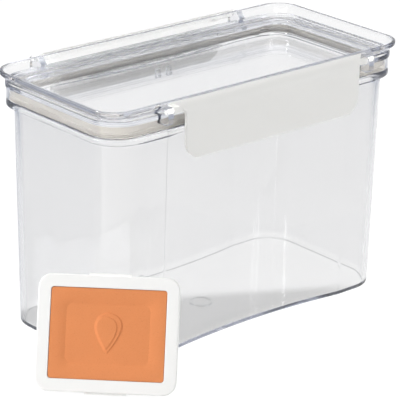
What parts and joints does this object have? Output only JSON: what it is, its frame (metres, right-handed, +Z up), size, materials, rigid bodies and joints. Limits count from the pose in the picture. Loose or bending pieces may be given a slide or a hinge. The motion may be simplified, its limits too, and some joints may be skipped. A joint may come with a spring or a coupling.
{
  "type": "pantry storage container",
  "caption": "Clear rectangular airtight keeper with bowed long walls, a lift-off stacking lid on a seal, flip latches on the long sides, and a loose clay moisture tile in a clip-in holder.",
  "frame": {"origin": "centre of the tub's foot, on the surface that it stands on", "axes": "+Z up, +X along the long side, -Y towards the front latch"},
  "size_m": [0.231, 0.1375, 0.133],
  "materials": {
    "clear_plastic": "clear and polished",
    "white_plastic": "satin",
    "seal": "translucent silicone",
    "terracotta": "unglazed and matt"
  },
  "bodies": {
    "tub": {"tub": "clear_plastic"},
    "lid": {"lid": "clear_plastic", "lid_seal": "seal"},
    "front_latch": {"front_latch": "white_plastic"},
    "rear_latch": {"rear_latch": "white_plastic"},
    "holder": {"tile_frame": "white_plastic", "tile_back": "white_plastic", "clay_tile": "terracotta"}
  },
  "joints": [
    {"name": "lid_lift", "type": "slide", "parent": "tub", "child": "lid", "axis": [0, 0, 1], "range_m": [0, 0.08]},
    {"name": "front_latch_hinge", "type": "hinge", "parent": "lid", "child": "front_latch", "pos_m": [0, -0.0514, 0.1298], "axis": [-1, 0, 0], "range_deg": [0, 115]},
    {"name": "rear_latch_hinge", "type": "hinge", "parent": "lid", "child": "rear_latch", "pos_m": [0, 0.0514, 0.1298], "axis": [1, 0, 0], "range_deg": [0, 115]},
    {"name": "holder_lift", "type": "slide", "parent": "tub", "child": "holder", "axis": [-0.5, -0.5, 0.7071], "range_m": [0, 0.06]}
  ]
}
